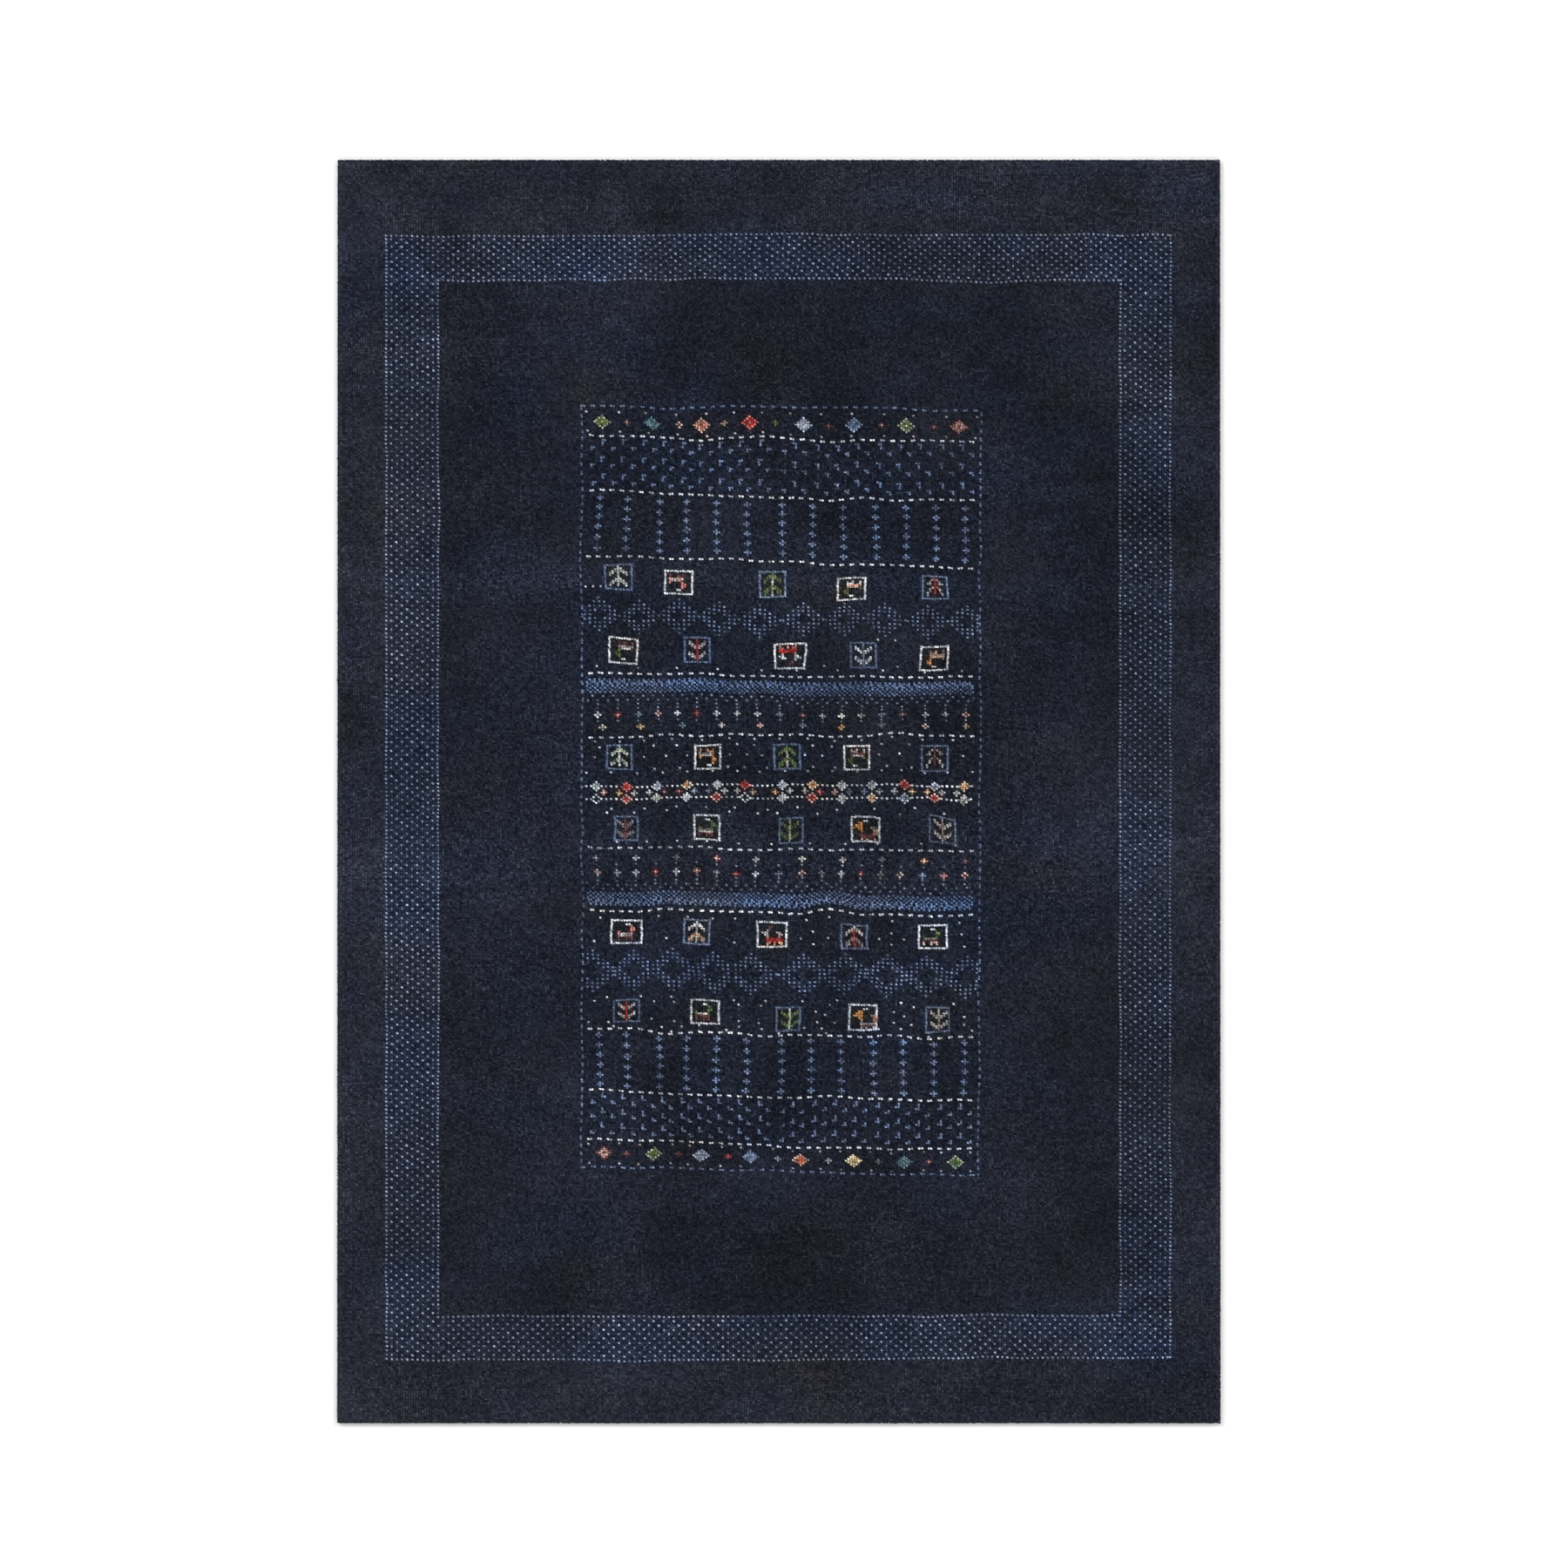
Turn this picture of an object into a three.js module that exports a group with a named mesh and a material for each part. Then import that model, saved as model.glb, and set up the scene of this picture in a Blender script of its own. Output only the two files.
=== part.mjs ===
// Hand-knotted wool rug, 1.40 m by 2.00 m, lying flat. Millimetres, +Z up, pile side up.
// One piece: the knotted pile and its woven ground are a single cloth, so it is a single solid.
// The underside is flat at z = 0; +Y is the top of the design and +X its right.
import * as THREE from "three";

// Driving sizes
const length = 2001.3; // along the warps
const widthTop = 1398.4; // across the rug at its upper end
const widthBottom = 1401.2; // across the rug at its lower end, a hand loom's slight taper
const groundHeight = 3.0; // woven ground under the pile
const pileTop = 11.0; // height of the clipped pile over the floor
const pileLie = 0.45; // how far the clipped surface rises and falls
const gridAcross = 30; // cells of the pile surface
const gridAlong = 42;
const arcSteps = 3; // steps round each corner
const gridInset = 14; // where the flat pile surface starts, in from the edge
const cornerReach = 16; // how far a corner's own points run along each side

// How the edge rolls from the floor up into the pile
const rimProfile = [
  { inset: 0.9, height: 0 },
  { inset: 0.0, height: groundHeight * 0.6 },
  { inset: 0.3, height: 6.4 },
  { inset: 1.6, height: 9.0 },
  { inset: 4.4, height: 10.5 },
];

// Corner radii, from the lower left round to the upper left
const corners = [
  { x: -1, y: -1, radius: 5.5 },
  { x: 1, y: -1, radius: 6.0 },
  { x: 1, y: 1, radius: 10.0 },
  { x: -1, y: 1, radius: 6.5 },
];

// Slow rise and fall of the pile as the rug lies: wave lengths, sizes and starts
const waves = [
  { across: 610, along: 1330, size: 0.4, start: 0.7 },
  { across: -1170, along: 520, size: 0.34, start: 2.1 },
  { across: 390, along: -760, size: 0.26, start: 4.0 },
];

// Small in-and-out wander of the edges
const wander = [
  { every: 870, size: 0.28, start: 0.4 },
  { every: 310, size: 0.17, start: 2.6 },
];

const halfWidth = (y) => {
  const share = y / length + 0.5;
  return (widthBottom + (widthTop - widthBottom) * share) / 2;
};

const surfaceHeight = (x, y) => {
  const lift = waves.reduce(
    (sum, w) => sum + w.size * Math.sin((2 * Math.PI * x) / w.across + (2 * Math.PI * y) / w.along + w.start),
    0,
  );
  return pileTop + pileLie * lift;
};

const edgeWander = (along) =>
  wander.reduce((sum, w) => sum + w.size * Math.sin((2 * Math.PI * along) / w.every + w.start), 0);

// Where a point of the rounded outline lies, as shares of the sides, at a given inset
const outlinePoint = (station, inset) => {
  const halfLength = length / 2;
  if (station.corner) {
    const { x, y, radius } = station.corner;
    const reach = radius - inset;
    const cx = x * (halfWidth(y * halfLength) - radius);
    const cy = y * (halfLength - radius);
    return [cx + reach * Math.cos(station.angle), cy + reach * Math.sin(station.angle)];
  }
  const { side, share } = station;
  const fade = Math.sin(Math.PI * share) ** 0.5; // no wander at the corners
  if (side === "bottom" || side === "top") {
    const sign = side === "bottom" ? -1 : 1;
    const half = halfWidth(sign * halfLength) - cornerReach;
    const x = (share * 2 - 1) * half * -sign; // the bottom runs left to right, the top back
    return [x, sign * (halfLength - inset + fade * edgeWander(x + 500))];
  }
  const sign = side === "right" ? 1 : -1;
  const y = (share * 2 - 1) * (halfLength - cornerReach) * sign;
  return [sign * (halfWidth(y) - inset + fade * edgeWander(y * sign)), y];
};

// The outline's stations, counter-clockwise from the lower left corner, with the cell of the
// pile surface that each one meets
const stations = [];
const addCorner = (corner, gridX, gridY) => {
  const start = Math.atan2(corner.y, corner.x) - Math.PI / 4;
  for (let k = 0; k <= arcSteps; k += 1) {
    stations.push({ corner, angle: start + (k / arcSteps) * (Math.PI / 2), gridX, gridY });
  }
};
const addSide = (side, cells, cellOf) => {
  for (let k = 1; k < cells; k += 1) stations.push({ side, share: k / cells, ...cellOf(k) });
};
addCorner(corners[0], 0, 0);
addSide("bottom", gridAcross, (k) => ({ gridX: k, gridY: 0 }));
addCorner(corners[1], gridAcross, 0);
addSide("right", gridAlong, (k) => ({ gridX: gridAcross, gridY: k }));
addCorner(corners[2], gridAcross, gridAlong);
addSide("top", gridAcross, (k) => ({ gridX: gridAcross - k, gridY: gridAlong }));
addCorner(corners[3], 0, gridAlong);
addSide("left", gridAlong, (k) => ({ gridX: 0, gridY: gridAlong - k }));

const points = [];
const faces = [];
const addPoint = (x, y, z) => points.push([x, y, z]) - 1;
const addFace = (a, b, c) => {
  if (a !== b && b !== c && a !== c) faces.push(a, b, c);
};
const addQuad = (a, b, c, d) => {
  addFace(a, b, c);
  addFace(a, c, d);
};

// The pile surface
const surface = [];
for (let j = 0; j <= gridAlong; j += 1) {
  const y = (j / gridAlong - 0.5) * (length - 2 * gridInset);
  surface.push([]);
  for (let i = 0; i <= gridAcross; i += 1) {
    const x = (i / gridAcross - 0.5) * 2 * (halfWidth(y) - gridInset);
    surface[j].push(addPoint(x, y, surfaceHeight(x, y)));
  }
}
for (let j = 0; j < gridAlong; j += 1) {
  for (let i = 0; i < gridAcross; i += 1) {
    addQuad(surface[j][i], surface[j][i + 1], surface[j + 1][i + 1], surface[j + 1][i]);
  }
}

// The rim, ring by ring from the floor up, then in to the pile surface
const rings = rimProfile.map(({ inset, height }) =>
  stations.map((station) => {
    const [x, y] = outlinePoint(station, inset);
    const rise = height > groundHeight ? (surfaceHeight(x, y) - pileTop) * (height / pileTop) : 0;
    return addPoint(x, y, height + rise);
  }),
);
rings.push(stations.map(({ gridX, gridY }) => surface[gridY][gridX]));
for (let r = 0; r + 1 < rings.length; r += 1) {
  stations.forEach((_, k) => {
    const next = (k + 1) % stations.length;
    addQuad(rings[r][k], rings[r][next], rings[r + 1][next], rings[r + 1][k]);
  });
}

// The flat underside
const floorLoop = rings[0].map((p) => new THREE.Vector2(points[p][0], points[p][1]));
THREE.ShapeUtils.triangulateShape(floorLoop, []).forEach(([a, b, c]) => {
  addFace(rings[0][a], rings[0][c], rings[0][b]);
});

const geometry = new THREE.BufferGeometry();
geometry.setAttribute("position", new THREE.Float32BufferAttribute(points.flat(), 3));
geometry.setIndex(faces);
geometry.computeVertexNormals();

const navyWool = new THREE.MeshStandardMaterial({ color: 0x262b38, roughness: 0.95, metalness: 0 });
navyWool.name = "navyWool";

const rug = new THREE.Mesh(geometry, navyWool);
rug.name = "rug";

const part = new THREE.Group();
part.name = "knottedRug";
part.add(rug);

export default part;
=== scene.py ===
import bpy
import math
import numpy as np
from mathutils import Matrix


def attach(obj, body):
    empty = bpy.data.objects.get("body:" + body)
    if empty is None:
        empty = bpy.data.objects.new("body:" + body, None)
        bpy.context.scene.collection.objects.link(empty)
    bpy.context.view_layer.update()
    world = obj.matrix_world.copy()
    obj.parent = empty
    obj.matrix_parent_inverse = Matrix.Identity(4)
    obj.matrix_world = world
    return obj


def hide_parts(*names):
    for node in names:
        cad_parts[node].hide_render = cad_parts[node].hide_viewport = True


# Hand-knotted wool rug lying flat, seen from straight above. Metres, the same frame as the solid.
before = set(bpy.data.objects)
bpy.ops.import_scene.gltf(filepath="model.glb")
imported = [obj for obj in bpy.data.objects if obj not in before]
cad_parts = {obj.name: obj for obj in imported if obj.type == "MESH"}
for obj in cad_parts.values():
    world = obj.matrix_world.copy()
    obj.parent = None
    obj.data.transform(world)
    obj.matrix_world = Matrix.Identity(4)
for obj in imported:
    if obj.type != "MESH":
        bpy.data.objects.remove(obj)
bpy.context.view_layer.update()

camera = {
    "aimX": 0.0081,          # what the middle of the picture looks at
    "aimY": 0.0121,
    "height": 12.0,
    "frameWidth": 2.484,     # metres across the picture, at the top of the pile
    "pileTop": 0.011,
    "filmWidth": 36.0,       # millimetres
    "farthest": 60.0,
}

studio = {
    "floorSize": 14.0,
    "floorLevel": -0.0004,   # just under the rug
    "floorShade": (0.86, 0.86, 0.86),
    "floorRoughness": 0.9,
    "skyStrength": 0.42,
    "panelPower": 300.0,
    "panelSize": 3.2,
    # where each soft panel stands, and its share of the power
    "panels": [(-4.2, 3.4, 5.2, 1.0), (4.4, 2.8, 5.6, 0.75), (0.4, -4.8, 5.4, 0.6)],
}

rugSize = {
    "columns": 353,          # knots across
    "rows": 631,             # knots down
    "panelLeft": 96,         # the panel's first column and top line
    "panelTop": 128,
    "panelBottom": 509,
    "panelWidth": 160,
    "lightGain": 1.05,       # what the light gives a knot of the pile, against its own colour
    "seed": 11,
}

# Every wool by its letter: its colour as it looks in the pile
wools = {
    ".": (28, 32, 46),       # navy ground
    "q": (37, 40, 53),       # the lighter, greyer navy of the margin
    "z": (31, 39, 59),       # the border's ground
    "u": (24, 29, 43),       # the panel's ground
    "x": (25, 28, 34),       # darker and browner inside the framed pictures
    "w": (199, 202, 207),    # white
    "W": (176, 180, 184),    # softer white of the small flowers
    "b": (88, 113, 157),     # slate blue
    "B": (76, 99, 139),      # the same, faded
    "d": (116, 130, 155),    # the border's pale dots
    "k": (140, 158, 190),    # light blue
    "r": (174, 38, 32),      # red
    "R": (204, 104, 92),     # rose
    "s": (194, 154, 140),    # shell pink
    "m": (104, 52, 50),      # dull madder
    "o": (200, 124, 54),     # orange
    "O": (196, 88, 48),      # burnt orange
    "y": (204, 158, 70),     # gold
    "a": (184, 112, 88),     # salmon
    "n": (160, 124, 92),     # tan
    "v": (84, 98, 46),       # olive
    "l": (150, 160, 76),     # lime
    "p": (148, 155, 130),    # pale green
    "g": (150, 144, 140),    # warm grey
    "h": (112, 106, 108),    # dark warm grey
    "e": (98, 110, 132),     # grey blue
    "c": (192, 185, 166),    # cream
    "Y": (204, 184, 134),    # butter yellow
    "t": (80, 110, 118),     # teal
    "G": (74, 100, 50),      # leaf green
}
woolLetters = list(wools)
groundWools = [woolLetters.index(letter) for letter in ".qzux"]

# Small figures, one mark a knot: a letter is a wool, a number is filled in for each use
figures = {
    "bigFlower": ["...1...", "..121..", ".12221.", "1223221", ".12221.", "..121..", "...1..."],
    "star": ["..1..", ".121.", "12221", ".121.", "..1.."],
    "hollowStar": ["..1..", ".1.1.", "1...1", ".1.1.", "..1.."],
    "cross": [".1.", "121", ".1."],
    "hook": ["11", "1."],
    "longHook": ["11", "1.", "1."],
    "pineTree": ["...1...", "..111..", ".11211.", "11.2.11", "1..2..1", "...2...",
                 "..333..", ".33233.", "33.2.33", "33.2.33", "3..2..3"],
    "slimTree": ["...1...", "..111..", ".11211.", "11.2.11", "1..2..1", "...2...",
                 "..333..", ".33233.", "33.2.33", "3..2..3", "......."],
    "vineTree": ["...2...", "1..2..1", "11.2.11", ".11211.", "..121..", "...2...",
                 "1..2..1", "11.2.11", ".11211.", "..121..", "...2..."],
    "thinTree": ["...2...", "..121..", ".1.2.1.", "11.2.11", "...2...", "..121..",
                 ".1.2.1.", ".1.2.1.", "1..2..1", "1.....1", "......."],
    "longNeck": [".........", "....ww...", "......1..", "......11.", "......11.", ".4....1..",
                 ".422221..", ".555555..", ".3..333..", ".3..3.3..", "........."],
    "bigHead": ["..........", "....ww....", "..11......", ".111......", "1111...44.", "..11....44",
                "...1....44", "...5....44", "...555555.", "...222222.", "...3.3..3."],
    "hound": [".........", "...mm....", "...m.....", "..1......", "111...44.", ".11....44",
              "..n....4.", "..2222222", "..2222222", "..33.3.33", "..3..3..3"],
}


def stampFigure(chart, name, top, left, letters, flip=""):
    # flip holds u for upside down and m for mirrored
    lines = figures[name][::-1] if "u" in flip else figures[name]
    fill = {str(n + 1): wool for n, wool in enumerate(letters)}
    for r, line in enumerate(lines):
        for c, mark in enumerate(line[::-1] if "m" in flip else line):
            if mark != ".":
                chart[top + r, left + c] = woolLetters.index(fill.get(mark, mark))


def layKnot(chart, row, column, wool):
    if 0 <= row < chart.shape[0] and 0 <= column < chart.shape[1]:
        chart[row, column] = woolLetters.index(wool)


borderBands = {
    "outerTop": 41, "innerTop": 65, "innerBottom": 581, "outerBottom": 601,
    "outerLeft": 19, "innerLeft": 39, "innerRight": 312, "outerRight": 332,
    "stepOver": 150,         # columns from the left where the lattice steps over by one knot
}


def layBorder(chart):
    # pale dots on a two-knot lattice, every other one left out, with a closed row of dots at each rim
    b = borderBands
    outerRows, innerRows = (b["outerTop"], b["outerBottom"]), (b["innerTop"], b["innerBottom"])
    outerColumns, innerColumns = (b["outerLeft"], b["outerRight"]), (b["innerLeft"], b["innerRight"])
    chart[:] = woolLetters.index("q")
    chart[b["outerTop"]:b["outerBottom"] + 1, b["outerLeft"]:b["outerRight"] + 1] = woolLetters.index("z")
    chart[b["innerTop"] + 1:b["innerBottom"], b["innerLeft"] + 1:b["innerRight"]] = woolLetters.index(".")
    for row in range(b["outerTop"], b["outerBottom"] + 1):
        for column in range(b["outerLeft"], b["outerRight"] + 1):
            if b["innerTop"] < row < b["innerBottom"] and b["innerLeft"] < column < b["innerRight"]:
                continue
            m, k = row - b["outerTop"], column - b["outerLeft"]
            onOuterRim = row in outerRows or column in outerColumns
            onInnerRim = (row in innerRows and b["innerLeft"] <= column <= b["innerRight"]) \
                or (column in innerColumns and b["innerTop"] <= row <= b["innerBottom"])
            if onOuterRim or onInnerRim:
                dotted = (row in outerRows + innerRows and k % 2 == 0) \
                    or (column in outerColumns + innerColumns and m % 2 == 0)
            else:
                dotted = m % 2 == 0 and k % 2 == int(k >= b["stepOver"]) and (m // 2 + k // 2) % 2 == 0
            if dotted:
                chart[row, column] = woolLetters.index("d")


panelRows = {
    "dashLines": [143, 171, 204, 261, 292, 348, 379, 439, 470, 495],
    "softLine": 348,         # the one in the softer white
    "dashPitch": 4,
    "dashLength": 2,
    "dashFrom": 3,           # first column in the panel, and the one after the last
    "dashTo": 157,
    "crossColumns": [7, 18, 31, 42, 54, 66, 80, 92, 104, 117, 129, 141, 153],
    "stemColumns": [6, 14, 22, 30, 38, 46, 54, 62, 70, 79,
                    88, 96, 104, 112, 120, 128, 137, 145, 153],
    "starColumns": [6, 18, 30, 42, 54, 65, 80, 92, 104, 116, 129, 141, 153],
    "diamondCentres": [7, 23, 39, 55, 71, 88, 105, 121, 138, 154],
    "zigzagCentres": [4, 21, 37, 53, 68, 89, 105, 122, 138, 154],
}


def layPanelLines(chart):
    left, top, bottom = rugSize["panelLeft"], rugSize["panelTop"], rugSize["panelBottom"]
    right = left + rugSize["panelWidth"] - 1
    first, pitch, length = panelRows["dashFrom"], panelRows["dashPitch"], panelRows["dashLength"]
    chart[top:bottom + 1, left:right + 1] = woolLetters.index("u")
    for column in range(left, right + 1):
        if (column - left) % pitch < length:
            chart[top, column] = chart[bottom, column] = woolLetters.index("b")
    for row in range(top, bottom + 1):
        if (row - top - 1) % pitch < length:
            chart[row, left] = chart[row, right] = woolLetters.index("B")
    for line in panelRows["dashLines"]:
        wool = "W" if line == panelRows["softLine"] else "w"
        for column in range(first, panelRows["dashTo"]):
            if (column - first) % pitch < length:
                chart[line, left + column] = woolLetters.index(wool)


# Big flowers and the small crosses between them: column in the panel, then the wools from petal to heart
endFlowers = {
    "top": [(8, "pvl"), (28, "ttt"), (48, "sam"), (67, "Rrs"),
            (88, "kWe"), (108, "kbd"), (129, "pvp"), (150, "Rsr")],
    "bottom": [(9, "msm"), (29, "pvv"), (48, "kdk"), (68, "dde"),
               (88, "sOO"), (109, "YYn"), (129, "ttb"), (150, "pGG")],
    "topCrosses": [(18, "ms"), (39, "sm"), (57, "nn"), (77, "vv"), (98, "mR"), (119, "ms"), (140, "mR")],
    "bottomCrosses": [(18, "mR"), (39, "mm"), (59, "rR"), (79, "gg"), (99, "gg"), (119, "hg"), (139, "ma")],
    "topDots": (2, 15, 26, 38, 50, 61, 72, 83, 95, 107, 120, 132, 145, 157),
    "bottomDots": (3, 15, 23, 36, 43, 56, 64, 77, 85, 96, 104, 116, 124, 137, 144, 156),
    "dotWools": "gWngsWgngWgsgnWg",
    "topHeart": 8,           # the hearts' row: from the panel's top, and from the last dashed line
    "bottomHeart": 7,
    "dotStep": 5,            # the dots' rows, up and down from the hearts
}


def layEndFlowers(chart):
    left = rugSize["panelLeft"]
    hearts = {"top": rugSize["panelTop"] + endFlowers["topHeart"],
              "bottom": panelRows["dashLines"][-1] + endFlowers["bottomHeart"]}
    for end, heart in hearts.items():
        for column, letters in endFlowers[end]:
            stampFigure(chart, "bigFlower", heart - 3, left + column - 3, letters)
        for column, letters in endFlowers[end + "Crosses"]:
            stampFigure(chart, "cross", heart - 1, left + column - 1, letters)
        for column, wool in zip(endFlowers[end + "Dots"], endFlowers["dotWools"]):
            for row in (heart - endFlowers["dotStep"], heart + endFlowers["dotStep"]):
                layKnot(chart, row, left + column, wool)


# Rows of hooks that face the middle: the first's column, how far it is to the next, and how many
hookRows = [
    {"figure": "longHook", "left": (8.3, 7.8, 9), "right": (84.3, 8.33, 9)},
    {"figure": "hook", "left": (4.4, 7.75, 10), "right": (80.0, 8.33, 10)},
]


def layHooks(chart, line, tops, low):
    for n, row in enumerate(tops):
        kind = hookRows[n % 2]
        for side, turn in (("left", ""), ("right", "m")):
            first, step, count = kind[side]
            for k in range(count):
                column = rugSize["panelLeft"] + round(first + step * k)
                stampFigure(chart, kind["figure"], line + row, column, "b", turn + ("u" if low else ""))


def layCrosses(chart, line, centres):
    for row in centres:
        for column in panelRows["crossColumns"]:
            stampFigure(chart, "cross", line + row - 1, rugSize["panelLeft"] + column - 1, "bb")


def layDotChain(chart, line, firstRow, dotRows, centres, inner, outer):
    # hollow diamonds of dots: a dot is laid where its steps from the middle lie between inner and outer
    left = rugSize["panelLeft"]
    half = (dotRows - 1) / 2
    for k in range(dotRows):
        up = math.floor(abs(k - half))
        for n, centre in enumerate(centres):
            for d in range(-outer, outer + 1):
                if inner <= abs(d) + up <= outer:
                    nearest = min(abs(centre + 2 * d - other) for other in centres)
                    if nearest == abs(2 * d) and 0 < centre + 2 * d < rugSize["panelWidth"] - 1:
                        layKnot(chart, line + firstRow + 2 * k, left + centre + 2 * d, "b")


# The band of blue that thins out into dots, and the flowers that stand on it
blueBand = {
    "firstColumn": 2,
    "lastColumn": 156,
    "fadedFrom": 7,          # the row from which the blue is a faded one
    "twoOfThree": (4, 5),
    "checks": (3, 6, 7, 8, 9),
    "sparse": (11, 13),
    "stems": (15, 17, 23),
    "flowerRow": 20,
    "secondRow": 26,
    "height": 31,
    "upperPetals": "WrtsWrWpWemWcgemWgs",
    "upperHearts": "gsemwsWWWesWWgewWWr",
    "upperSecond": ("cytgseyesn", "ncesaeohmc"),
    "upperSecondColumns": (8, 23, 40, 56, 71, 88, 104, 120, 137, 153),
    "lowerPetals": "sgWrWaerWeshWmhcbRs",
    "lowerHearts": "oWpsWWgspemgWRvmksr",
    "lowerSecond": ("hWhRgcghom", "sghwWpsech"),
}


def layBlueBand(chart, line, lower):
    band, left = blueBand, rugSize["panelLeft"]

    def at(row):
        return line + (band["height"] - row if lower else row)

    for column in range(band["firstColumn"], band["lastColumn"] + 1):
        for n, row in enumerate(band["twoOfThree"]):
            if column % 3 != n:
                layKnot(chart, at(row), left + column, "b")
        for row in band["checks"]:
            if (column + row) % 2 == 0:
                layKnot(chart, at(row), left + column, "b" if row < band["fadedFrom"] else "B")
        for n, row in enumerate(band["sparse"]):
            if column % 4 == 2 * n:
                layKnot(chart, at(row), left + column, "e")
    half = "lower" if lower else "upper"
    petals, hearts, second = band[half + "Petals"], band[half + "Hearts"], band[half + "Second"]
    for n, column in enumerate(panelRows["stemColumns"]):
        for row in band["stems"]:
            layKnot(chart, at(row), left + column, "e")
        flowerTop = at(band["flowerRow"] - lower) - 1
        stampFigure(chart, "cross", flowerTop, left + column - 1, petals[n] + hearts[n])
    for n, petal, heart in zip(range(len(second[0])), *second):
        column = panelRows["stemColumns"][2 * n] if lower else band["upperSecondColumns"][n]
        stampFigure(chart, "cross", at(band["secondRow"]) - 1, left + column - 1, petal + heart)


# The chain of stars across the middle: petals and fills of its two rows, and the crosses between them
starChain = {
    "upperRow": 25, "lowerRow": 31, "crossRow": 28,
    "upperPetals": "WRWcWRWcWWRWc",
    "upperFills": "prkoWrkoWgreo",
    "lowerPetals": "wsWWswWsWcWsW",
    "lowerFills": ".rpWr.WrWoerg",
    "crossColumns": [9, 15, 21, 27, 33, 39, 45, 51, 57, 62, 68, 77,
                     83, 89, 95, 101, 107, 113, 119, 125, 132, 138, 144, 150],
    "crossPetals": "aogWmmeeggnoggrsebggnogg",
    "crossHearts": "ccWWsRkkWWccWWssbeWWycWg",
}


def layStarChain(chart, line):
    left = rugSize["panelLeft"]
    for row in (starChain["upperRow"], starChain["lowerRow"]):
        for column in range(2, 158, 2):
            layKnot(chart, line + row, left + column, "w")
    for half in ("upper", "lower"):
        row = line + starChain[half + "Row"]
        stars = zip(panelRows["starColumns"], starChain[half + "Petals"], starChain[half + "Fills"])
        for column, petal, fill in stars:
            column += left
            figure = "hollowStar" if fill == "." else "star"
            chart[row - 1:row + 2, column - 1:column + 2] = woolLetters.index("u")
            stampFigure(chart, figure, row - 2, column - 2, petal + fill)
    crosses = zip(starChain["crossColumns"], starChain["crossPetals"], starChain["crossHearts"])
    for column, petal, heart in crosses:
        stampFigure(chart, "cross", line + starChain["crossRow"] - 1, left + column - 1, petal + heart)


# Framed trees and animals: top row, first and last column in the panel, the frame's wool,
# the figure and its left column, its wools, and how it is turned
pictureHeads = ("top", "first", "last", "edge", "figure", "left", "letters", "turn")
pictures = [
    (208, 10, 20, "b", "slimTree", 12, "cWc", ""),
    (210, 33, 44, "w", "longNeck", 34, "RgmRs", "u"),
    (209, 71, 81, "b", "pineTree", 73, "vgv", ""),
    (211, 102, 113, "W", "longNeck", 104, "vgWva", "um"),
    (209, 136, 146, "b", "thinTree", 138, "grg", ""),
    (244, 11, 22, "w", "longNeck", 13, "vWmmg", "um"),
    (243, 41, 51, "B", "vineTree", 43, "gr", ""),
    (245, 77, 89, "w", "hound", 79, "WraW", "um"),
    (245, 107, 117, "B", "vineTree", 109, "We", ""),
    (245, 135, 146, "w", "longNeck", 137, "osnns", "um"),
    (296, 10, 20, "B", "slimTree", 12, "pWp", ""),
    (297, 45, 55, "w", "longNeck", 46, "oWaog", "u"),
    (297, 77, 87, "B", "pineTree", 79, "vgv", ""),
    (297, 105, 115, "w", "longNeck", 106, "vWsvm", "um"),
    (297, 136, 146, "B", "thinTree", 138, "gmg", ""),
    (332, 13, 22, "B", "vineTree", 14, "hm", ""),
    (332, 45, 55, "W", "longNeck", 46, "Ghmvg", ""),
    (333, 79, 88, "B", "vineTree", 80, "vp", ""),
    (332, 108, 119, "W", "bigHead", 109, "omsnm", ""),
    (332, 139, 149, "B", "vineTree", 141, "gh", ""),
    (383, 12, 24, "w", "longNeck", 14, "RgmRg", ""),
    (383, 41, 51, "b", "pineTree", 43, "Wgn", ""),
    (383, 70, 82, "W", "hound", 72, "grng", ""),
    (384, 104, 114, "B", "pineTree", 106, "grh", ""),
    (383, 135, 146, "w", "longNeck", 136, "vgsvm", ""),
    (424, 13, 23, "B", "vineTree", 15, "gr", ""),
    (423, 44, 55, "W", "longNeck", 45, "GWmvm", ""),
    (425, 78, 87, "B", "vineTree", 80, "vp", ""),
    (424, 107, 118, "W", "bigHead", 109, "omsag", ""),
    (424, 138, 147, "B", "vineTree", 140, "gg", ""),
]
pictureHeight = 13


def layPictures(chart):
    left = rugSize["panelLeft"]
    for row in pictures:
        p = dict(zip(pictureHeads, row))
        first, last, low = left + p["first"], left + p["last"], p["top"] + pictureHeight - 1
        edge = woolLetters.index(p["edge"])
        chart[p["top"]:low + 1, first:last + 1] = woolLetters.index("x")
        chart[p["top"], first:last + 1] = chart[low, first:last + 1] = edge
        chart[p["top"]:low + 1, first] = chart[p["top"]:low + 1, last] = edge
        stampFigure(chart, p["figure"], p["top"] + 1, left + p["left"], p["letters"], p["turn"])


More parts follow.
